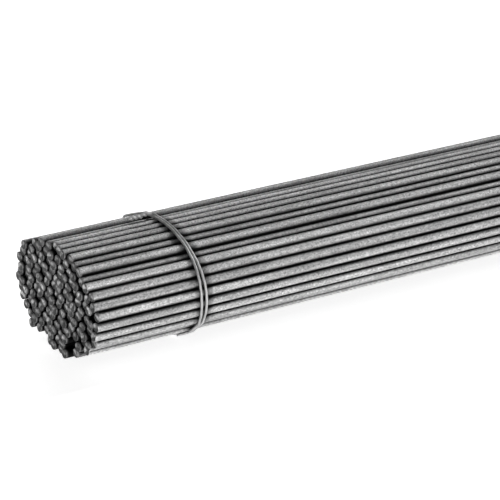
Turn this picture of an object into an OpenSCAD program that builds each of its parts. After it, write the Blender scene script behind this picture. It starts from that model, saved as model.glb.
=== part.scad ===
// Bundle of galvanized steel rods, held by two wire ties and lying on them.
// The rods run along X, +Z is up, and the origin is on the floor under the middle of the bundle.
// A section of the bundle is drawn in [y, z], and a direction in it is an angle from +Y towards +Z.

/* [Rods] */
// Diameter of a rod
rod_d = 6; // [4:0.5:8]
// Length of the longest rods
rod_length = 1000; // [400:50:3000]
// Least gap between rods that lie against each other
rod_play = 0.06; // [0.05:0.01:0.15]
// How far a rod's end may be set back from the end of the bundle
end_stagger = 3; // [0:0.5:8]

/* [Bundle] */
// Width of the oval that the rods' centres lie in
oval_w = 98; // [60:1:110]
// Number of rows of rods, one above the other
rows = 14; // [8:1:16]
// Clear gap between two rods of one row
row_gap = 1.6; // [1.3:0.05:2]
// How much further apart than touching a rod lies from those in the row above
looseness = 0.1; // [0:0.05:0.5]
// How far a rod may lie off its regular place
unevenness = 0.7; // [0:0.1:1]

/* [Ties] */
// Diameter of the tie wire
wire_d = 1.6; // [1:0.1:2.4]
// Distance of a tie from its end of the bundle
tie_inset = 74; // [40:1:150]
// Gap between the wire and the rods that it is pulled round
wire_play = 0.12; // [0.08:0.02:0.3]
// Gap between two strands that lie together
strand_gap = 0.15; // [0.1:0.05:0.4]
// How much further apart the two strands are low on the front
strand_parting = 1.8; // [0:0.1:4]
// Length of the twisted end
twist_length = 13; // [8:0.5:25]
// Length of one turn of the twist
twist_pitch = 6.5; // [6:0.5:12]
// Length of the loose tail
tail_length = 8; // [6:0.5:20]
// Radius at which the wire bends into the tail
tail_bend = 2.5; // [2:0.1:4]

/* [Hidden] */
// How much taller the oval is than the stack of rows, which leaves the top and bottom rows flat
CROWN = 1.04;
// Roundness of the oval: 2 is an ellipse, less is more pointed, and more is squarer
ROUNDNESS = 2.1;
// Sideways place of the rows, as a share of the rods' spacing
ROW_SHIFT = -0.1;
// Directions between which the outermost rods lie side by side on the oval, from its top and down the front
FRONT = [90, 212];
// Steps between the first of them, each in a rod's reach, after which every step is one
FRONT_STEPS = [1, 1, 1, 2.1, 1.9];
// How far in a rod lies that has room between two of them, as a share of a rod's diameter
SUNK = 0.37;
// Turn by which the next of them is sought
SEEK = 0.1;
// Places of rods that are missing, from the middle of the oval and in diameters of a rod
MISSING = [[-6.4, 0.4], [-2.95, -3.75]];
// Rounds of settling, in each of which a rod moves off the neighbours that it overlaps
SETTLING = 60;
// Seeds of the rods' uneven places across and up, and the step that spreads their set-back ends
SEED_Y = 14;
SEED_Z = 23;
END_STEP = 0.618;
// Directions in which the twisted end and the tail leave the tie
TWIST_AT = 85;
TAIL_AT = 240;
// Turn that is left out between the last of the wire on the rods and its tail
BEFORE_TAIL = 2;
// Directions between which the two strands part
PARTED = [112, 236];
// Directions between which the wire crosses from its first lane to its second, out of sight
CROSSING = [320, 395];
// Length of the slope on which the twist comes down onto the rods
TWIST_SLOPE = 6;
// Corners of the wire's section, the widest turn between two of its rings, rings in a turn of the twist,
// and steps in a tight bend
WIRE_SIDES = 10;
WIRE_STEP = 15;
TWIST_RINGS = 12;
BEND_STEPS = 6;
// A hair's turn, by which an arc stops short of the spans beside it
HAIR = 0.01;

// ---- The rods' places ----

row_pitch_y = rod_d + row_gap;
reach = rod_d + rod_play;
row_pitch_z = sqrt(pow(reach + looseness, 2) - pow(row_pitch_y / 2, 2));
stack_h = (rows - 1) * row_pitch_z;
lowest = wire_d + wire_play + rod_d / 2;
middle = [0, lowest + stack_h / 2];

function fraction(v) = v - floor(v);
function direction(a) = [cos(a), sin(a)];
function unit(v) = v / norm(v);
function sum(list, i = 0, total = [0, 0]) = i == len(list) ? total : sum(list, i + 1, total + list[i]);

// Half the oval's width at a height above the floor
function half_chord(z) =
    let (share = (z - middle.y) / (CROWN * stack_h / 2))
    oval_w / 2 * pow(max(0, 1 - pow(abs(share), ROUNDNESS)), 1 / ROUNDNESS);

function signed_power(v, power) = sign(v) * pow(abs(v), power);

function on_oval(a) =
    let (power = 2 / ROUNDNESS)
    middle + [oval_w / 2 * signed_power(cos(a), power), CROWN * stack_h / 2 * signed_power(sin(a), power)];

function next_on_oval(a, from, step) =
    norm(on_oval(a) - from) >= step ? a : next_on_oval(a + SEEK, from, step);

function front_step(k) = reach * (k < len(FRONT_STEPS) ? FRONT_STEPS[k] : 1);

function front_from(a, k = 0) =
    a > FRONT[1] ? [] : concat([on_oval(a)], front_from(next_on_oval(a, on_oval(a), front_step(k)), k + 1));

front = front_from(FRONT[0]);

// Rods that lie sunk between two of the front with room between them, against the first of the two
sunk = [for (k = [0:len(front) - 2])
    let (apart = front[k + 1] - front[k], inward = unit([-apart.y, apart.x]))
    if (norm(apart) > 1.5 * reach)
        front[k] + reach * unit(apart / 2 + SUNK * rod_d * inward)];

taken = concat([for (q = MISSING) middle + rod_d * q], sunk, front);

function is_free(p) = min([for (q = taken) norm(p - q)]) > 0.8 * rod_d;

// The places of one row's rods
function row_places(row) =
    let (z = lowest + row * row_pitch_z, shift = (row % 2 == 0 ? 0.5 : 0) + ROW_SHIFT)
    [for (i = [-20:20])
        let (p = [(i + shift) * row_pitch_y, z])
        if (abs(p.x) <= half_chord(z) && is_free(p)) p];

stacked = [for (row = [0:rows - 1]) each row_places(row)];
places = concat(stacked, sunk, front);
rod_count = len(places);
held_from = rod_count - len(front);
off_y = rands(-unevenness, unevenness, rod_count, SEED_Y);
off_z = rands(-unevenness, unevenness, rod_count, SEED_Z);
uneven = [for (i = [0:rod_count - 1])
    i >= len(stacked) ? places[i] : places[i] + [off_y[i], places[i].y == lowest ? 0 : off_z[i]]];
near = [for (p = places)
    [for (j = [0:rod_count - 1]) if (places[j] != p && norm(places[j] - p) < 2 * rod_d) j]];

// A rod pushed half of each overlap away from its neighbours, and never below the bottom row,
// while the rods of the front stay where the ties hold them
function pushed(p, i) =
    i >= held_from ? p[i] :
    let (moved = p[i] + sum([for (j = near[i])
        let (away = p[i] - p[j], apart = norm(away))
        if (apart < reach) away / apart * (reach - apart) / 2]))
    [moved.x, max(lowest, moved.y)];

function settled(p, rounds) = rounds == 0 ? p : settled([for (i = [0:len(p) - 1]) pushed(p, i)], rounds - 1);

heap = settled(uneven, SETTLING);
heap_y = [for (p = heap) p.x];
centres = [for (p = heap) p - [(min(heap_y) + max(heap_y)) / 2, 0]];
row_of = [for (p = centres) min(rows - 1, round((p.y - lowest) / row_pitch_z))];

// ---- The ties' route ----

lane = (wire_d + strand_gap) / 2;
wire_off = rod_d / 2 + wire_play + wire_d / 2;

// The next corner of the rods' convex outline after rod i, going round from +Y towards +Z
function turnmost(i, best = -1, k = 0) =
    k == rod_count ? best :
    let (side = best < 0 ? -1 : cross(centres[best] - centres[i], centres[k] - centres[i]),
        further = best < 0 || norm(centres[k] - centres[i]) > norm(centres[best] - centres[i]))
    turnmost(i, k != i && (side < 0 || (side == 0 && further)) ? k : best, k + 1);

function outline_from(first, i, found) =
    let (next = turnmost(i))
    next == first ? found : outline_from(first, next, concat(found, [next]));

start_y = min([for (p = centres) if (p.y == lowest) p.x]);
start = [for (i = [0:rod_count - 1]) if (centres[i] == [start_y, lowest]) i][0];
corners = [for (i = outline_from(start, start, [start])) centres[i]];
corner_count = len(corners);

// Outward direction of the straight span that follows a corner, counted on from the first span's
function span_angle(k) =
    let (along = corners[(k + 1) % corner_count] - corners[k % corner_count],
        angle = atan2(along.y, along.x) - 90)
    k == 0 ? angle : angle + 360 * ceil((span_angle(k - 1) - angle) / 360);

span_angles = [for (k = [0:corner_count]) span_angle(k)];

// One turn round the outline as [y, z, outward direction]: an arc on each corner, and straight spans
turn = [for (k = [1:corner_count])
    let (from = span_angles[k - 1] + HAIR, to = span_angles[k] - HAIR,
        steps = max(1, ceil((to - from) / WIRE_STEP)))
    for (j = [0:steps])
        let (a = from + (to - from) * j / steps, p = corners[k % corner_count] + wire_off * direction(a))
        [p.x, p.y, a]];

function turn_from(a0, a1) =
    [for (round = [-1:2]) for (p = turn) if (p[2] + 360 * round > a0 && p[2] + 360 * round < a1)
        [p[0], p[1], p[2] + 360 * round]];

// Where the wire lies at a direction that no span has
function on_outline(a) =
    let (n = direction(a),
        far = max([for (c = corners) c * n]),
        c = [for (c = corners) if (c * n == far) c][0])
    c + wire_off * n;

function ramp(a, from, to) = let (t = min(1, max(0, (a - from) / (to - from)))) t * t * (3 - 2 * t);

// Distance of a strand along X from the tie's middle
function strand_x(a) =
    let (b = a % 360, share = (b - PARTED[0]) / (PARTED[1] - PARTED[0]),
        parted = share > 0 && share < 1 ? pow(sin(180 * share), 2) : 0)
    (lane + strand_parting / 2 * parted) * (1 - 2 * ramp(a, CROSSING[0], CROSSING[1]));

function place(p, x, a) = [[x, p.x, p.y], [0, cos(a), sin(a)]];

// The twisted end leaves the middle of a long span near the direction set for it
span_lengths = [for (k = [0:corner_count - 1]) norm(corners[(k + 1) % corner_count] - corners[k])];
knot_merits = [for (k = [0:corner_count - 1]) span_lengths[k] - abs(span_angles[k] - TWIST_AT)];
knot_span = [for (k = [0:corner_count - 1]) if (knot_merits[k] == max(knot_merits)) k][0];
knot_a = span_angles[knot_span];
knot_n = direction(knot_a);
knot_t = direction(knot_a + 90);
knot = (corners[knot_span] + corners[(knot_span + 1) % corner_count]) / 2 + wire_off * knot_n;

// A ring of the wire at the twisted end, from its place along X, round the tie and out of it
function at_knot(x, along, out) = place(knot + along * knot_t + out * knot_n, x, knot_a);

// The two strands of the twist lie half a turn apart round an axis that comes down onto the rods
twist_r = lane + strand_gap / 3;
twist_x = -3 * lane;

function twist_ring(s, phase) =
    let (out = lane + lane * (1 - ramp(s, 0, TWIST_SLOPE)),
        angle = phase + 360 * (s - twist_length) / twist_pitch)
    at_knot(twist_x - s, twist_r * cos(angle), out + twist_r * sin(angle));

twist_steps = round(twist_length / twist_pitch * TWIST_RINGS);
twist_back = [for (i = [0:twist_steps]) twist_ring(twist_length * i / twist_steps, 180)];
twist_end = [for (i = [1:BEND_STEPS - 1])
    let (b = 180 * i / BEND_STEPS)
    at_knot(twist_x - twist_length - twist_r * sin(b), -twist_r * cos(b), lane)];
twist_out = [for (i = [twist_steps:-1:0]) twist_ring(twist_length * i / twist_steps, 0)];

// From the twist the wire comes over the strand in the second lane, and down beside it into the first
over_along = 0.4 * span_lengths[knot_span];
over = [for (i = [0:BEND_STEPS])
    let (share = i / BEND_STEPS, b = 90 * (1 - share))
    at_knot(lane * (2 * cos(b) - 1), twist_r + (over_along - twist_r) * share * share, 2 * lane * sin(b))];

tail_t = direction(TAIL_AT + 90);
tail_start = on_outline(TAIL_AT);
tail_straight = tail_length - tail_bend;
tail = concat([for (i = [0:BEND_STEPS])
    let (b = 90 * i / BEND_STEPS)
    place(tail_start + tail_bend * sin(b) * tail_t, -lane - tail_bend * (1 - cos(b)), TAIL_AT)],
    [place(tail_start + tail_bend * tail_t, -lane - tail_bend - tail_straight, TAIL_AT)]);

loops = [for (p = turn_from(knot_a, 360 + TAIL_AT - BEFORE_TAIL)) place([p[0], p[1]], strand_x(p[2]), p[2])];
tie_route = concat(twist_back, twist_end, twist_out, over, loops, tail);

// ---- The wire as a swept tube ----

function ring(route, i) =
    let (last = len(route) - 1,
        along = unit(route[min(i + 1, last)][0] - route[max(i - 1, 0)][0]),
        out = unit(route[i][1] - (route[i][1] * along) * along),
        side = cross(along, out))
    [for (k = [0:WIRE_SIDES - 1])
        let (a = 360 * k / WIRE_SIDES)
        route[i][0] + wire_d / 2 * (cos(a) * out + sin(a) * side)];

module swept(route) {
    last = len(route) - 1;
    sides = [for (i = [0:last - 1]) for (k = [0:WIRE_SIDES - 1])
        let (a = i * WIRE_SIDES + k, b = i * WIRE_SIDES + (k + 1) % WIRE_SIDES)
        each [[a, b, b + WIRE_SIDES], [a, b + WIRE_SIDES, a + WIRE_SIDES]]];
    ends = [[for (k = [WIRE_SIDES - 1:-1:0]) k], [for (k = [0:WIRE_SIDES - 1]) last * WIRE_SIDES + k]];
    polyhedron([for (i = [0:last]) each ring(route, i)], concat(sides, ends));
}

module rod(i) {
    set_back = end_stagger * [fraction(i * END_STEP), fraction((rod_count - i) * END_STEP)];
    translate([set_back.x - rod_length / 2, centres[i].x, centres[i].y])
        rotate([0, 90, 0])
            cylinder(h = rod_length - set_back.x - set_back.y, d = rod_d, $fn = 32);
}

module rods_row(row) {
    color("silver")
        for (i = [0:rod_count - 1])
            if (row_of[i] == row)
                rod(i);
}

module tie_near() {
    color("gainsboro")
        translate([tie_inset - rod_length / 2, 0, 0])
            swept(tie_route);
}

module tie_far() {
    mirror([1, 0, 0])
        tie_near();
}

for (row = [1:rows])
    rods_row(row - 1);
tie_near();
tie_far();
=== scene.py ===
"""Rods, wire ties and a plain studio for a tied bundle of galvanized steel rods.

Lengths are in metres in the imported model's frame: X along the rods, +Z up, the floor at height 0.
"""

import math

import bpy
import numpy as np
from bpy.props import FloatProperty, FloatVectorProperty, IntProperty, PointerProperty
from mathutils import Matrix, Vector


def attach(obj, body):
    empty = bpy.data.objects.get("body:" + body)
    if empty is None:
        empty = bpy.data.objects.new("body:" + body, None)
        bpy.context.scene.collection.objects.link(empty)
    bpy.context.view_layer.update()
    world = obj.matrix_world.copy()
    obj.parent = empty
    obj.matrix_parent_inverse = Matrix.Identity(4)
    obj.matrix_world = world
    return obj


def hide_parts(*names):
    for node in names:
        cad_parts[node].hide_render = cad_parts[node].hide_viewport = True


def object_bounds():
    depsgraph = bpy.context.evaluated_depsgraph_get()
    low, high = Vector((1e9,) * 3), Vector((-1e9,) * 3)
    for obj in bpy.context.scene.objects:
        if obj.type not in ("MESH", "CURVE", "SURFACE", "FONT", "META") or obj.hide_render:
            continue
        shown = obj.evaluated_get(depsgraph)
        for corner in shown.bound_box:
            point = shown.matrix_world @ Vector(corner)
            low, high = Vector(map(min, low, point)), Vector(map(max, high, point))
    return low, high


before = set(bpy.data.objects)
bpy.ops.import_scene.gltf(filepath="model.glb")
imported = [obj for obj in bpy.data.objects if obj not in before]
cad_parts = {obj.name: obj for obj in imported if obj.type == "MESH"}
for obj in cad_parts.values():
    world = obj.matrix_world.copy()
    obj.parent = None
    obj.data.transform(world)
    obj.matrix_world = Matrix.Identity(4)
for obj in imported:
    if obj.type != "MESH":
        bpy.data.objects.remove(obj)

bl_info = {
    "name": "Rod Bundle",
    "version": (1, 0, 0),
    "blender": (4, 5, 0),
    "location": "3D View > Sidebar > Rod Bundle",
    "description": "Dresses a tied bundle of galvanized steel rods and lights it on a pale floor",
    "category": "Add Mesh",
}

CAD_LOW, CAD_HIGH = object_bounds()
TIES = ("tie_near", "tie_far")


def row_number(node):
    """The number at the end of a row's name."""
    return int(node.rsplit("_", 1)[1])


ROD_ROWS = sorted((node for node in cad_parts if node.startswith("rods_row_")), key=row_number)


# ---- Sizes and colours ----


class RodFinish(bpy.types.PropertyGroup):
    """Sizes of a sheared rod, colours of its zinc and its cut steel, and the painted shade between the
    rods.
    """

    sides: IntProperty(
        name="Sides", description="Flat sides that make a rod round", default=24, min=12, max=48
    )
    roll: FloatProperty(
        name="Rolled edge",
        description="How far the edge of a sheared end is pressed back where the blade went in",
        default=0.0004,
        unit="LENGTH",
    )
    burr: FloatProperty(
        name="Burr",
        description="How far the burr stands out where the blade came out",
        default=0.0001,
        unit="LENGTH",
    )
    slant: FloatProperty(
        name="Slant",
        description="The most that a sheared end leans from square to the rod",
        default=math.radians(5),
        subtype="ANGLE",
    )
    # The zinc's colour where the painted shade between the rods does not darken it
    zinc: FloatVectorProperty(
        name="Zinc",
        description="Colour of the zinc coating on an outer rod",
        default=(0.62, 0.62, 0.62),
        subtype="COLOR",
        min=0,
        max=1,
    )
    cut_steel: FloatVectorProperty(
        name="Cut steel",
        description="Colour of the steel in a sheared end",
        default=(0.16, 0.16, 0.16),
        subtype="COLOR",
        min=0,
        max=1,
    )
    # Painted shade: how much brightness the zinc keeps where it is painted dark deep between the rods
    painted_shade: FloatProperty(
        name="Inner shade",
        description="How much of its brightness the zinc keeps deep between the rods",
        default=0.06,
        subtype="FACTOR",
        min=0,
        max=1,
    )


class WireFinish(bpy.types.PropertyGroup):
    """Colours of the tie wire."""

    bright: FloatVectorProperty(
        name="Bright wire",
        description="Colour of the wire where it is clean",
        default=(0.64, 0.64, 0.64),
        subtype="COLOR",
        min=0,
        max=1,
    )
    dull: FloatVectorProperty(
        name="Dull wire",
        description="Colour of the wire where it is rubbed and dull",
        default=(0.38, 0.38, 0.38),
        subtype="COLOR",
        min=0,
        max=1,
    )
    smoothing: IntProperty(
        name="Smoothing", description="Rounds of subdivision on the wire", default=1, min=0, max=2
    )


class StudioSetup(bpy.types.PropertyGroup):
    """Floor, lamps and camera."""

    floor: FloatVectorProperty(
        name="Floor",
        description="Colour of the floor",
        default=(0.8, 0.8, 0.8),
        subtype="COLOR",
        min=0,
        max=1,
    )
    floor_radius: FloatProperty(
        name="Floor radius", description="Radius of the floor", default=60.0, unit="LENGTH"
    )
    azimuth: FloatProperty(
        name="Azimuth",
        description="Camera's direction round the bundle, from square on to its side",
        default=math.radians(-32.73),
        subtype="ANGLE",
    )
    elevation: FloatProperty(
        name="Elevation",
        description="Camera's height above level",
        default=math.radians(21.43),
        subtype="ANGLE",
    )
    distance: FloatProperty(
        name="Distance",
        description="From the camera to the near end of the bundle, along the view",
        default=1.55305,
        unit="LENGTH",
    )
    lens: FloatProperty(
        name="Lens", description="Focal length of the camera", default=187.2, subtype="DISTANCE_CAMERA"
    )
    aim_right: FloatProperty(
        name="Aim right",
        description="How far the view's middle lies right of the near end",
        default=0.11793,
        unit="LENGTH",
    )
    aim_up: FloatProperty(
        name="Aim up",
        description="How far the view's middle lies above the middle of the near end",
        default=0.0286,
        unit="LENGTH",
    )


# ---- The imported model's rods and wires ----

# Decimal places to which the corners of a rod and of a wire agree where they are in the same place
ROD_PLACES = 6
WIRE_PLACES = 7
# Radius of the tie wire
WIRE_RADIUS = 0.0008


def mesh_points(mesh):
    """The points of a mesh as lines of x, y and z."""
    points = np.zeros(len(mesh.vertices) * 3, np.float32)
    mesh.vertices.foreach_get("co", points)
    return points.reshape(-1, 3).astype(float)


def merged_triangles(node, places):
    """A node's points, of which those in the same place are made one, and its triangles between them."""
    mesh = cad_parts[node].data
    mesh.calc_loop_triangles()
    corners = np.zeros(len(mesh.loop_triangles) * 3, np.int32)
    mesh.loop_triangles.foreach_get("vertices", corners)
    points, same = np.unique(np.round(mesh_points(mesh), places), axis=0, return_inverse=True)
    return points, same.ravel()[corners].reshape(-1, 3)


def rods_in(node):
    """The rods of one row, one line each: first x, last x, y, z, radius.

    Points of one triangle belong together, so each point takes the lowest number among them, over and over,
    until every point of a rod has the same number. A rod's axis lies midway between its extremes of y and
    of z, and its radius is half of that span.
    """
    points, triangles = merged_triangles(node, ROD_PLACES)
    number = np.arange(len(points))
    while True:
        lowest = number.copy()
        np.minimum.at(lowest, triangles.ravel(), np.repeat(number[triangles].min(1), 3))
        lowest = lowest[lowest]
        if (lowest == number).all():
            break
        number = lowest
    rods = [points[number == k] for k in np.unique(number)]
    low = np.array([rod.min(0) for rod in rods])
    high = np.array([rod.max(0) for rod in rods])
    middle = (low + high) / 2
    return np.column_stack([low[:, 0], high[:, 0], middle[:, 1], middle[:, 2], (high - low)[:, 2] / 2])


def tie_middle(node):
    """Where along the bundle a tie's wire lies under the rods, clear of its twist and tail."""
    points = mesh_points(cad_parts[node].data)
    lowest = points[points[:, 2] < 2 * WIRE_RADIUS]
    return float(lowest[:, 0].min() + lowest[:, 0].max()) / 2


# The rods of each row, the axes of them all as y and z, and the radius of a rod
ALL_RODS = {node: rods_in(node) for node in ROD_ROWS}
AXES = np.concatenate([rods[:, 2:4] for rods in ALL_RODS.values()])
ROD_RADIUS = float(ALL_RODS[ROD_ROWS[0]][0, 4])


# ---- Meshes ----


def mesh_piece(name, points, faces, materials):
    """A new object at the origin from an array of points and arrays of quads and triangles."""
    mesh = bpy.data.meshes.new(name)
    corners = np.concatenate([f.ravel() for f in faces])
    sizes = np.concatenate([np.full(len(f), f.shape[1]) for f in faces])
    mesh.vertices.add(len(points))
    mesh.vertices.foreach_set("co", points.astype(np.float32).ravel())
    mesh.loops.add(len(corners))
    mesh.loops.foreach_set("vertex_index", corners.astype(np.int32))
    mesh.polygons.add(len(sizes))
    mesh.polygons.foreach_set("loop_start", (np.cumsum(sizes) - sizes).astype(np.int32))
    mesh.update(calc_edges=True)
    mesh.validate()
    for material in materials:
        mesh.materials.append(material)
    piece = bpy.data.objects.new(name, mesh)
    bpy.context.scene.collection.objects.link(piece)
    return piece


def smooth(mesh):
    """Shades every face of a mesh smooth."""
    mesh.polygons.foreach_set("use_smooth", np.ones(len(mesh.polygons), bool))


def point_values(mesh, name, values, kind="FLOAT"):
    """Stores one value, or one vector, per point of a mesh for its material to read."""
    layer = mesh.attributes.new(name, kind, "POINT")
    layer.data.foreach_set("value" if kind == "FLOAT" else "vector", values.astype(np.float32).ravel())


# Rays from each place on a rod by which its openness is told
RAYS = 23
# How far ahead of a place an axis must lie to block a ray, in a rod's radius
LEAST_AHEAD = 0.1
# Least slope of a ray that is counted as going down
LEAST_SLOPE = 1e-6
# How far to each side the floor under the bundle lies in its shade, as a share of the bundle's half width;
# rays that land there add to the painted shade on the rods
SHADED_FLOOR = 0.5


def openness(axes, around):
    """The share of the open that each side of each rod faces, between the other rods of the bundle.

    Rays leave a place on the rod in directions spread evenly over the half turn round its normal, weighted
    by the cosine of their angle to it. A ray is blocked where an axis ahead lies within a rod's radius of
    it, or where it meets the shaded floor under the bundle. The zinc material uses it to paint shade
    between the rods and over that floor.
    """
    spread = np.linspace(-np.pi / 2, np.pi / 2, RAYS + 2)[1:-1]
    weight = np.cos(spread) / np.cos(spread).sum()
    turned = around[:, None] + spread
    normal = np.stack([np.cos(around), np.sin(around)], -1)
    ray = np.stack([np.cos(turned), np.sin(turned)], -1)
    start = axes[:, None] + ROD_RADIUS * normal
    to_axis = AXES - start[:, :, None]
    ahead = np.einsum("rsan,sdn->rsda", to_axis, ray)
    aside = np.abs(np.einsum("rsan,sdn->rsda", to_axis[..., ::-1] * (1, -1), ray))
    blocked = ((ahead > LEAST_AHEAD * ROD_RADIUS) & (aside < ROD_RADIUS)).any(-1)
    slope = np.maximum(-ray[..., 1], LEAST_SLOPE)
    lands = start[:, :, None, 0] + ray[..., 0] * start[:, :, None, 1] / slope
    blocked |= (ray[..., 1] < 0) & (np.abs(lands) < SHADED_FLOOR * CAD_HIGH.y)
    return (~blocked) @ weight


# Rings of a sheared end, from the middle of the cut out to its edge and on along the rod's side. Each has
# a share of the rod's radius, a distance in from the end, and the least openness that it counts as having.
# That least openness lifts the painted shade on the zinc near the end, where light reaches in from the cut.
END_SHARES, END_STEPS, END_OPEN = np.array(
    [
        (0.0, 0.0, 1.0),
        (0.45, 0.0, 1.0),
        (0.7, 0.0, 1.0),
        (0.88, 0.00004, 0.95),
        (0.96, 0.00016, 0.86),
        (1.0, 0.00045, 0.78),
        (1.0, 0.0014, 0.6),
        (1.0, 0.0035, 0.0),
    ]
).T
# Bands between these rings that are bare steel, counted from the fan in the middle of the cut
CUT_BANDS = 3
# Least distances of the last two of these rings from the edge of the cut
EDGE_GAPS = np.array([0.0003, 0.0006])
# Rings on the rest of a rod's side, as shares of its length
SIDE_RINGS = np.array([0.04, 0.2, 0.4, 0.6, 0.8, 0.96])
# The most that the blade's direction turns from straight down, in radians
BLADE_TURN = 0.9
# Least share of the whole roll and burr that a cut has
LEAST_EDGE = 0.35
# Power of the share of the radius by which roll and burr fade from the edge inwards
EDGE_FADE = 8
# Seed of the random draws for the lowest row, after which each row has the next
FIRST_SEED = 1000


def sheared_end(finish, count, around, rng):
    """Rings of one end of each rod, from the middle of the cut to its edge and over it.

    The blade comes down on the rod, turned a little either way, and the cut leans by the slant along its
    direction. At the edge the distance in runs from the roll, where the blade went in, to a burr that
    stands out on the far side: it is half their sum times the cosine of the angle from the blade's
    direction, plus half their difference. Inside the edge both fade by a power of the share. Half of what
    the foremost place stands out is then taken back. Returned are each ring's share of the radius, its
    places' distance in, and their place in the cut: how far along the blade's direction, across it and
    from the middle, in radii.
    """
    blade = np.pi / 2 + rng.uniform(-1, 1, (count, 1, 1)) * BLADE_TURN
    lean = np.tan(rng.uniform(-1, 1, (count, 1, 1)) * finish.slant)
    amount = rng.uniform(LEAST_EDGE, 1, (count, 1, 1))
    share = END_SHARES[:, None]
    facing = np.cos(around - blade)
    across = np.sin(around - blade)
    edge = (finish.roll - finish.burr) / 2 + (finish.roll + finish.burr) / 2 * facing
    inward = END_STEPS[:, None] + amount * edge * share**EDGE_FADE + lean * share * ROD_RADIUS * facing
    inward = inward - inward.min((1, 2), keepdims=True) / 2
    inward[:, -2:] = np.maximum(inward[:, -2:], inward[:, -3, None] + EDGE_GAPS[:, None])
    cut = np.stack(np.broadcast_arrays(facing * share, across * share, share), -1)
    return np.broadcast_to(share, inward.shape), inward, cut


def rod_faces(keep):
    """Quads between the rings of each rod, and a fan of triangles round the middle of each of its ends.

    A rod's first and last ring are the middles of its ends, of which one point each is kept.
    """
    index = (np.cumsum(keep.ravel()) - 1).reshape(keep.shape)
    near, far = index[:, 1:-2], index[:, 2:-1]
    quads = np.stack([near, np.roll(near, -1, 2), np.roll(far, -1, 2), far], -1)
    first, last = index[:, 1], index[:, -2]
    start = np.broadcast_to(index[:, 0, :1], first.shape)
    end = np.broadcast_to(index[:, -1, :1], last.shape)
    start_fan = np.stack([start, np.roll(first, -1, 1), first], -1)
    end_fan = np.stack([end, last, np.roll(last, -1, 1)], -1)
    return quads, start_fan, end_fan


def make_row(finish, node, zinc, cut_steel):
    """All rods of one row as one piece.

    A rod is a circle carried along its axis: the point at angle t of ring k is the axis plus share_k times
    the radius times (cos t, sin t), at x_k. The rings of its sheared ends close it.
    """
    rods = ALL_RODS[node]
    count = len(rods)
    rng = np.random.default_rng(FIRST_SEED + ROD_ROWS.index(node))
    around = np.linspace(0, 2 * np.pi, finish.sides, endpoint=False)
    share_a, inward_a, cut_a = sheared_end(finish, count, around, rng)
    share_b, inward_b, cut_b = sheared_end(finish, count, around, rng)
    first, last, y, z, radius = rods.T[..., None, None]
    side = first + SIDE_RINGS[:, None] * (last - first)
    side = np.broadcast_to(side, (count, SIDE_RINGS.size, around.size))
    x = np.concatenate([first + inward_a, side, (last - inward_b)[:, ::-1]], 1)
    share = np.concatenate([share_a, np.ones_like(side), share_b[:, ::-1]], 1)
    cut = np.concatenate([cut_a, np.zeros((*side.shape, 3)), cut_b[:, ::-1]], 1)
    reach = share * radius
    points = np.stack([x, y + reach * np.cos(around), z + reach * np.sin(around)], -1)
    keep = np.ones(x.shape, bool)
    keep[:, [0, -1], 1:] = False
    quads, start_fan, end_fan = rod_faces(keep)
    faces = [quads.reshape(-1, 4), start_fan.reshape(-1, 3), end_fan.reshape(-1, 3)]
    piece = mesh_piece(node.replace("rods_row", "rods"), points[keep], faces, (zinc, cut_steel))
    mesh = piece.data
    smooth(mesh)
    band = np.arange(quads.shape[1])
    bare = (band < CUT_BANDS) | (band >= band.size - CUT_BANDS)
    bare = np.broadcast_to(bare[:, None], quads.shape[:3])
    slots = np.concatenate([bare.ravel(), np.ones(2 * count * around.size, bool)])
    mesh.polygons.foreach_set("material_index", slots.astype(np.int32))
    tone = np.broadcast_to(rng.uniform(0, 1, (count, 1, 1)), x.shape)
    # Openness of each side, from which the zinc's painted shade between the rods is drawn
    open_side = np.broadcast_to(openness(rods[:, 2:4], around)[:, None], x.shape)
    # Near the ends the painted shade is lifted to the least openness of each ring
    least_open = np.concatenate([END_OPEN, np.zeros(SIDE_RINGS.size), END_OPEN[::-1]])
    point_values(mesh, "rod_tone", tone[keep])
    point_values(mesh, "rod_open", np.maximum(open_side, least_open[:, None])[keep])
    point_values(mesh, "cut_place", cut[keep], "FLOAT_VECTOR")
    return piece


# The share of its radius that a wire of 10 sides loses in a round of subdivision
WIRE_LOSS = 0.06


def make_tie(finish, node, zinc):
    """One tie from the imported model's wire, with its corners merged and rounded.

    Subdivision draws a ring of n corners in to (2 + cos(turn / n)) / 3 of its radius, so each corner first
    moves out along its normal by what the wire would lose.
    """
    points, triangles = merged_triangles(node, WIRE_PLACES)
    piece = mesh_piece("wire_" + node, points, [triangles], [zinc])
    mesh = piece.data
    smooth(mesh)
    if finish.smoothing:
        normals = np.zeros(len(mesh.vertices) * 3, np.float32)
        mesh.vertex_normals.foreach_get("vector", normals)
        points = mesh_points(mesh) + WIRE_RADIUS * WIRE_LOSS * normals.reshape(-1, 3)
        mesh.vertices.foreach_set("co", points.astype(np.float32).ravel())
        mesh.update()
        modifier = piece.modifiers.new("Rounding", "SUBSURF")
        modifier.levels = modifier.render_levels = finish.smoothing
    return piece


# Rings of the floor, and the corners of each
FLOOR_RINGS = 24
FLOOR_SIDES = 96


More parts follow.
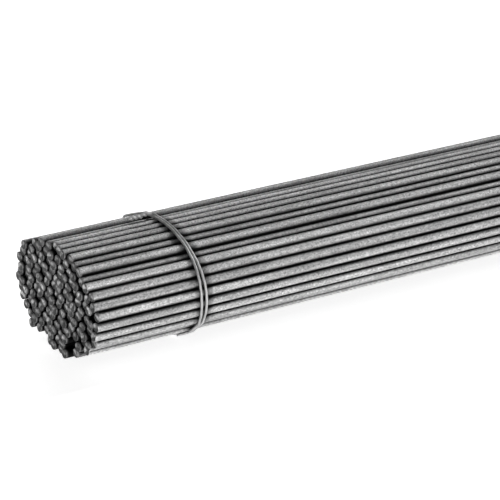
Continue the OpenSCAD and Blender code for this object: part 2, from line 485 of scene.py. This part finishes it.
def make_floor(studio):
    """The floor: rings round the origin whose radii grow by the square of their number, at height 0."""
    radius = studio.floor_radius * (np.arange(1, FLOOR_RINGS + 1) / FLOOR_RINGS) ** 2
    turn = np.linspace(0, 2 * np.pi, FLOOR_SIDES, endpoint=False)
    flat = np.stack([np.outer(radius, np.cos(turn)), np.outer(radius, np.sin(turn))], -1).reshape(-1, 2)
    points = np.column_stack([np.vstack([[0, 0], flat]), np.full(len(flat) + 1, CAD_LOW.z)])
    index = 1 + np.arange(FLOOR_RINGS * FLOOR_SIDES).reshape(FLOOR_RINGS, FLOOR_SIDES)
    near, far = index[:-1], index[1:]
    quads = np.stack([near, far, np.roll(far, -1, 1), np.roll(near, -1, 1)], -1)
    fan = np.column_stack([np.zeros(FLOOR_SIDES, int), index[0], np.roll(index[0], -1)])
    return mesh_piece("floor", points, [quads.reshape(-1, 4), fan], [floor_material(studio)])


# ---- Materials ----

# The span in which most values of a noise lie, and a narrower one, which gives a pattern clearer edges
NOISE_SPAN = (0.3, 0.7)
CLEAR_SPAN = (0.35, 0.65)


class Nodes:
    """A short way to write a material's nodes."""

    def __init__(self, name, world=None):
        self.owner = world or bpy.data.materials.new(name)
        self.owner.use_nodes = True
        self.tree = self.owner.node_tree
        self.tree.nodes.clear()

    def add(self, kind, **values):
        """A node with its settings and inputs set.

        An input is named by its label, with _ for a space, or by i and its number.
        """
        node = self.tree.nodes.new(kind)
        for key, value in values.items():
            if hasattr(node, key):
                setattr(node, key, value)
                continue
            socket = node.inputs[int(key[1:])] if key[1:].isdigit() else node.inputs[key.replace("_", " ")]
            if isinstance(value, bpy.types.NodeSocket):
                self.tree.links.new(value, socket)
            else:
                socket.default_value = value
        return node

    def math(self, operation, a, b=0.0):
        """One step of arithmetic on one or two values."""
        return self.add("ShaderNodeMath", operation=operation, i0=a, i1=b).outputs[0]

    def product(self, first, *others):
        """Values multiplied with each other, one after another."""
        for other in others:
            first = self.math("MULTIPLY", first, other)
        return first

    def spread(self, value, low, high, to_low, to_high):
        """Value carried evenly from one span to another, and held at its ends."""
        node = self.add(
            "ShaderNodeMapRange", Value=value, From_Min=low, From_Max=high, To_Min=to_low, To_Max=to_high
        )
        return node.outputs[0]

    def own_place(self):
        """The object's own coordinates, in metres."""
        return self.add("ShaderNodeTexCoord").outputs["Object"]

    def noise(self, place, cells, detail, roughness, seed=None):
        """Noise with a number of cells per unit of place along each axis. A seed gives another pattern."""
        place = self.add("ShaderNodeMapping", Vector=place, Scale=cells).outputs[0]
        values = {"Vector": place, "Scale": 1.0, "Detail": detail, "Roughness": roughness}
        if seed is not None:
            values.update(noise_dimensions="4D", W=seed)
        return self.add("ShaderNodeTexNoise", **values).outputs["Fac"]

    def attribute(self, name, output="Fac"):
        """What a mesh stores for its points under a name."""
        return self.add("ShaderNodeAttribute", attribute_name=name).outputs[output]

    def parts(self, vector):
        """A vector's three numbers."""
        return self.add("ShaderNodeSeparateXYZ", Vector=vector).outputs

    def shaded(self, colour, value):
        """A colour times a value."""
        return self.add("ShaderNodeVectorMath", operation="SCALE", i0=tuple(colour), Scale=value).outputs[0]

    def blend(self, share, first, second):
        """A first colour that gives way to a second by a share."""
        return self.add("ShaderNodeMix", data_type="RGBA", i0=share, i6=first, i7=second).outputs[2]

    def bump(self, height, strength, depth):
        """Normals of a relief whose height of 1 is this deep, and that shows by this strength."""
        return self.add("ShaderNodeBump", Strength=strength, Distance=depth, Height=height).outputs[0]

    def metal(self, **values):
        """A material of the standard shader with these values."""
        return self.surface(self.add("ShaderNodeBsdfPrincipled", **values))

    def surface(self, shader):
        """The finished material, with this shader on its surface."""
        self.add("ShaderNodeOutputMaterial", Surface=shader.outputs[0])
        return self.owner


# Distances from a tie's middle at which the painted shadow beside its wire starts and has faded out
PAINTED_TIE_SHADE = (0.0015, 0.0075)
# How much of the open that painted shadow takes away against the wire
TIE_CLOSES = 0.3

# The zinc's patterns: cells per metre along X, Y and Z, detail and roughness
ZINC_STREAKS = ((9, 620, 620), 4.0, 0.6)
ZINC_MOTTLE = ((800, 1200, 1200), 3.0, 0.75)
ZINC_SPANGLE = ((28, 160, 160), 2.0, 0.5)
# Their seeds' spread over the rods' tones
ZINC_SEEDS = 31.0
# Tones of the rods and of each pattern, as shares of the zinc's colour
ZINC_ROD_TONES = (0.8, 1.1)
ZINC_STREAK_TONES = (0.7, 1.2)
ZINC_MOTTLE_TONES = (0.3, 1.5)
ZINC_SPANGLE_TONES = (0.82, 1.09)
# Openness at which the zinc's painted shade is darkest, and from which the zinc keeps all its brightness
OPEN_SPAN = (0.5, 0.96)
ZINC_ROUGHNESS = (0.6, 0.75)
# Share of the streaks in the zinc's relief, against the mottle's 1
STREAK_RELIEF = 0.6


def painted_wire_shade(n):
    """How near a place on a rod is to a tie, from 1 against its wire to 0 at the end of the wire's soft
    painted shadow.
    """
    along = n.parts(n.own_place())[0]
    near, far = (n.math("ABSOLUTE", n.math("SUBTRACT", along, tie_middle(node))) for node in TIES)
    return n.spread(n.math("MINIMUM", near, far), *PAINTED_TIE_SHADE, 1, 0)


def zinc_material(finish):
    """Zinc coating: lengthwise drawing streaks, a fine mottle and a faint spangle, with painted shade
    between the rods and beside the wires.

    The brightness is the product of the tones of the rod, the streaks, the mottle and the spangle, and of
    the square of how open the place is, less the painted shadow beside each wire. That square is painted
    shade.
    """
    n = Nodes("galvanized_zinc")
    own = n.own_place()
    tone = n.attribute("rod_tone")
    seed = n.math("MULTIPLY", tone, ZINC_SEEDS)
    streaks = n.noise(own, *ZINC_STREAKS, seed)
    mottle = n.noise(own, *ZINC_MOTTLE, seed)
    spangle = n.noise(own, *ZINC_SPANGLE, seed)
    # Painted shadow: openness is cut beside each wire, so the gaps there are painted darker
    open_side = n.math("SUBTRACT", n.attribute("rod_open"), n.math("MULTIPLY", painted_wire_shade(n), TIE_CLOSES))
    # Painted shade: the zinc is painted darker the less open a place is, down to the painted shade's share
    painted_crevice_shade = n.spread(open_side, *OPEN_SPAN, finish.painted_shade, 1)
    relief = n.math("ADD", n.math("MULTIPLY", streaks, STREAK_RELIEF), mottle)
    light = n.product(
        n.spread(tone, 0, 1, *ZINC_ROD_TONES),
        n.spread(streaks, *NOISE_SPAN, *ZINC_STREAK_TONES),
        n.spread(mottle, *NOISE_SPAN, *ZINC_MOTTLE_TONES),
        n.spread(spangle, *CLEAR_SPAN, *ZINC_SPANGLE_TONES),
        n.product(painted_crevice_shade, painted_crevice_shade),
    )
    return n.metal(
        Base_Color=n.shaded(finish.zinc, light),
        Metallic=0.7,
        Roughness=n.spread(streaks, *NOISE_SPAN, *ZINC_ROUGHNESS),
        Specular_IOR_Level=0.2,
        Normal=n.bump(relief, strength=0.35, depth=0.00005),
    )


# The cut's patterns: cells, detail and roughness. The lines' cells are per radius along the blade's
# direction and across it, and the others' are per metre along X, Y and Z.
CUT_LINES = ((1.2, 9, 0), 3.0, 0.6)
CUT_GRAIN = ((1400, 1400, 1400), 3.0, 0.7)
CUT_PATCHES = ((300, 480, 480), 2.0, 0.5)
# Their seeds' spread over the rods' tones
CUT_SEEDS = 47.0
# Tones of the rods and of each pattern, as shares of the cut steel's colour
CUT_ROD_TONES = (0.5, 1.5)
CUT_LINE_TONES = (0.6, 1.4)
CUT_GRAIN_TONES = (0.5, 1.5)
CUT_PATCH_TONES = (0.35, 1.8)
# Share of the radius at which the painted shade at the rim starts and ends, and its tones there
CUT_RIM = (0.65, 1.0)
PAINTED_RIM_TONES = (1.15, 0.4)
# Distances along the blade's direction, in radii, between which the torn part gives way to the smooth,
# how much the lines ravel that border, and the tones of both parts
TORN_TO_SMOOTH = (0.1, 0.4)
BORDER_RAVEL = 0.5
TORN_TONES = (0.15, 1.5)
# Shares of the radius, and distances along the blade's direction, over which the zinc's smear grows, and
# the most that it covers
SMEAR_OUT = (0.86, 1.0)
SMEAR_UP = (0.3, 0.9)
MOST_SMEAR = 0.7
CUT_ROUGHNESS = (0.4, 0.65)


def cut_material(finish):
    """Sheared steel: smooth and bright where the blade went in, and torn and dark beyond a ragged border.

    The brightness is the product of the tones of the rod, of lines along the blade's travel, of a fine
    grain, of dull patches, of painted shade towards the rim and of the torn part. Zinc is smeared over the
    rim where the blade went in.
    """
    n = Nodes("sheared_steel")
    own = n.own_place()
    place = n.attribute("cut_place", "Vector")
    along_blade, _, from_middle = n.parts(place)
    tone = n.attribute("rod_tone")
    seed = n.math("MULTIPLY", tone, CUT_SEEDS)
    lines = n.noise(place, *CUT_LINES, seed)
    grain = n.noise(own, *CUT_GRAIN, seed)
    patches = n.noise(own, *CUT_PATCHES, seed)
    border = n.math("ADD", along_blade, n.math("MULTIPLY", lines, BORDER_RAVEL))
    light = n.product(
        n.spread(tone, 0, 1, *CUT_ROD_TONES),
        n.spread(lines, *NOISE_SPAN, *CUT_LINE_TONES),
        n.spread(grain, *NOISE_SPAN, *CUT_GRAIN_TONES),
        n.spread(patches, *CLEAR_SPAN, *CUT_PATCH_TONES),
        # Painted shade: the cut is painted darker towards its rim
        n.spread(from_middle, *CUT_RIM, *PAINTED_RIM_TONES),
        n.spread(border, *TORN_TO_SMOOTH, *TORN_TONES),
    )
    smear = n.product(
        n.spread(from_middle, *SMEAR_OUT, 0, 1),
        n.spread(along_blade, *SMEAR_UP, 0, MOST_SMEAR),
    )
    return n.metal(
        Base_Color=n.blend(smear, n.shaded(finish.cut_steel, light), (*finish.zinc, 1)),
        Metallic=0.7,
        Roughness=n.spread(grain, *NOISE_SPAN, *CUT_ROUGHNESS),
        Normal=n.bump(n.math("ADD", lines, grain), strength=0.5, depth=0.00012),
    )


# The wire's patterns: cells per metre along X, Y and Z, detail and roughness
WIRE_PATCHES = ((260, 260, 260), 3.0, 0.6)
WIRE_MARKS = ((1900, 1900, 1900), 2.0, 0.6)
# Share that the marks have in where the wire is dull, against the patches' 1, and the span of their sum
# over which it brightens
MARKS_IN_DULL = 0.4
DULL_SPAN = (0.5, 0.95)
WIRE_ROUGHNESS = (0.5, 0.65)


def wire_material(finish):
    """Soft tie wire: smooth zinc, rubbed dull in short patches, with fine drawing marks."""
    n = Nodes("tie_wire_zinc")
    own = n.own_place()
    patches = n.noise(own, *WIRE_PATCHES)
    marks = n.noise(own, *WIRE_MARKS)
    dull = n.spread(n.math("ADD", n.math("MULTIPLY", marks, MARKS_IN_DULL), patches), *DULL_SPAN, 1, 0)
    return n.metal(
        Base_Color=n.blend(dull, (*finish.bright, 1), (*finish.dull, 1)),
        Metallic=0.6,
        Roughness=n.spread(patches, *CLEAR_SPAN, *WIRE_ROUGHNESS),
        Normal=n.bump(marks, strength=0.25, depth=0.00003),
    )


# The paper's grain: cells per metre, detail and roughness, and its tones
PAPER_GRAIN = ((60, 60, 60), 3.0, 0.55)
PAPER_TONES = (0.97, 1.0)
# How much the floor is lifted towards white where the camera sees it. In a reflection it is lifted by 1.
SEEN_LIFT = 0.85


def floor_material(studio):
    """Pale paper with a faint grain, lifted towards white where it is seen, which keeps a soft shadow."""
    n = Nodes("pale_floor")
    grain = n.spread(n.noise(n.own_place(), *PAPER_GRAIN), *NOISE_SPAN, *PAPER_TONES)
    paper = n.add("ShaderNodeBsdfDiffuse", Color=n.shaded(studio.floor, grain)).outputs[0]
    path = n.add("ShaderNodeLightPath").outputs
    mirrored = n.math("MAXIMUM", path["Is Glossy Ray"], path["Is Transmission Ray"])
    lift = n.math("MAXIMUM", n.math("MULTIPLY", path["Is Camera Ray"], SEEN_LIFT), mirrored)
    glow = n.add("ShaderNodeEmission", Strength=lift).outputs[0]
    return n.surface(n.add("ShaderNodeAddShader", i0=paper, i1=glow))


# ---- Studio ----

# How far up a direction points at the foot and at the head of the studio's glow, and the light at both
GLOW_HEIGHTS = (0.02, 0.4)
GLOW_LIGHT = (0.65, 0.08)
# How far back a direction points where the studio's front ends and where its rear starts, and what the
# light is multiplied by in each
GLOW_DEPTHS = (-0.7, 0.5)
FRONT_AND_REAR = (1.1, 0.5)

# Lamps: the direction that each lies in, its strength, and its width in degrees
LAMPS = {
    "key": ((0.78, 0.06, 0.56), 1.8, 4),
    "fill": ((-0.15, -0.98, 0.09), 1.75, 9),
    "back": ((0.3, 0.9, 0.17), 1.5, 15),
}
# Distance from the origin at which the lamps are drawn
LAMP_DISTANCE = 2

# Width of the camera's sensor in millimetres, and the nearest and farthest that it sees
SENSOR_WIDTH = 36
CLIP = (0.01, 200)


def studio_world():
    """Soft light that falls off from a bright horizon to a grey ceiling, and from the front to the rear.

    The camera sees it white.
    """
    world = bpy.context.scene.world or bpy.data.worlds.new("studio")
    bpy.context.scene.world = world
    n = Nodes("studio", world)
    path = n.add("ShaderNodeLightPath").outputs
    _, back, up = n.parts(n.add("ShaderNodeTexCoord").outputs["Generated"])
    glow = n.product(
        n.spread(up, *GLOW_HEIGHTS, *GLOW_LIGHT),
        n.spread(back, *GLOW_DEPTHS, *FRONT_AND_REAR),
    )
    seen = n.math("MAXIMUM", glow, path["Is Camera Ray"])
    sky = n.add("ShaderNodeBackground", Strength=seen, Color=(1, 1, 1, 1))
    n.add("ShaderNodeOutputWorld", Surface=sky.outputs[0])


def place_object(name, data, position, back):
    """A lamp or camera that looks away from the direction back."""
    thing = bpy.data.objects.new(name, data)
    thing.location = position
    thing.rotation_mode = "QUATERNION"
    thing.rotation_quaternion = back.to_track_quat("Z", "Y")
    bpy.context.scene.collection.objects.link(thing)
    return thing


def add_lamp(name, direction, strength, width):
    """A lamp so far off that its light is even along the whole bundle."""
    data = bpy.data.lights.new(name, "SUN")
    data.energy, data.angle = strength, math.radians(width)
    out = Vector(direction).normalized()
    place_object(name, data, LAMP_DISTANCE * out, out)


def add_camera(studio):
    """The camera, on a line of sight that passes beside the middle of the bundle's near end."""
    near_end = Vector((CAD_LOW.x, 0, float(AXES[:, 1].min() + AXES[:, 1].max()) / 2))
    a, e = studio.azimuth, studio.elevation
    back = Vector((math.sin(a) * math.cos(e), -math.cos(a) * math.cos(e), math.sin(e)))
    right = Vector((math.cos(a), math.sin(a), 0))
    up = back.cross(right)
    data = bpy.data.cameras.new("camera")
    data.lens, data.sensor_width = studio.lens, SENSOR_WIDTH
    data.clip_start, data.clip_end = CLIP
    position = near_end + right * studio.aim_right + up * studio.aim_up + back * studio.distance
    bpy.context.scene.camera = place_object("camera", data, position, back)


# ---- Operators ----


class BUNDLE_OT_rods(bpy.types.Operator):
    """Make the galvanized rods of every row, with their sheared ends"""

    bl_idname = "bundle.rods"
    bl_label = "Galvanized rods"
    bl_options = {"REGISTER", "UNDO"}

    def execute(self, context):
        finish = context.scene.bundle_rods
        zinc, cut_steel = zinc_material(finish), cut_material(finish)
        for node in ROD_ROWS:
            piece = make_row(finish, node, zinc, cut_steel)
            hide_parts(node)
            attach(piece, "root")
        return {"FINISHED"}


class BUNDLE_OT_ties(bpy.types.Operator):
    """Make the two twisted wire ties"""

    bl_idname = "bundle.ties"
    bl_label = "Wire ties"
    bl_options = {"REGISTER", "UNDO"}

    def execute(self, context):
        finish = context.scene.bundle_wire
        zinc = wire_material(finish)
        for node in TIES:
            piece = make_tie(finish, node, zinc)
            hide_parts(node)
            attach(piece, "root")
        return {"FINISHED"}


class BUNDLE_OT_stage(bpy.types.Operator):
    """Make the pale floor, the studio lamps and the camera"""

    bl_idname = "bundle.stage"
    bl_label = "Floor, lamps and camera"
    bl_options = {"REGISTER", "UNDO"}

    def execute(self, context):
        studio = context.scene.bundle_studio
        floor = make_floor(studio)
        studio_world()
        for name, (direction, strength, width) in LAMPS.items():
            add_lamp(name, direction, strength, width)
        add_camera(studio)
        context.scene.view_settings.view_transform = "Standard"
        return {"FINISHED"}


class BUNDLE_PT_panel(bpy.types.Panel):
    """Sizes, colours and operators of the rod bundle"""

    bl_idname = "BUNDLE_PT_panel"
    bl_label = "Rod Bundle"
    bl_space_type = "VIEW_3D"
    bl_region_type = "UI"
    bl_category = "Rod Bundle"

    def draw(self, context):
        layout = self.layout
        for operator, settings in (
            (BUNDLE_OT_rods, context.scene.bundle_rods),
            (BUNDLE_OT_ties, context.scene.bundle_wire),
            (BUNDLE_OT_stage, context.scene.bundle_studio),
        ):
            box = layout.box()
            box.operator(operator.bl_idname)
            for name in settings.bl_rna.properties.keys():
                if name not in {"rna_type", "name"}:
                    box.prop(settings, name)


CLASSES = (
    RodFinish,
    WireFinish,
    StudioSetup,
    BUNDLE_OT_rods,
    BUNDLE_OT_ties,
    BUNDLE_OT_stage,
    BUNDLE_PT_panel,
)


def register():
    for cls in CLASSES:
        bpy.utils.register_class(cls)
    bpy.types.Scene.bundle_rods = PointerProperty(type=RodFinish)
    bpy.types.Scene.bundle_wire = PointerProperty(type=WireFinish)
    bpy.types.Scene.bundle_studio = PointerProperty(type=StudioSetup)


def unregister():
    del bpy.types.Scene.bundle_studio
    del bpy.types.Scene.bundle_wire
    del bpy.types.Scene.bundle_rods
    for cls in reversed(CLASSES):
        bpy.utils.unregister_class(cls)


def main():
    """Makes the rods, the ties and the stage."""
    register()
    bpy.ops.bundle.rods()
    bpy.ops.bundle.ties()
    bpy.ops.bundle.stage()
    bpy.context.view_layer.update()


if __name__ == "__main__":
    main()
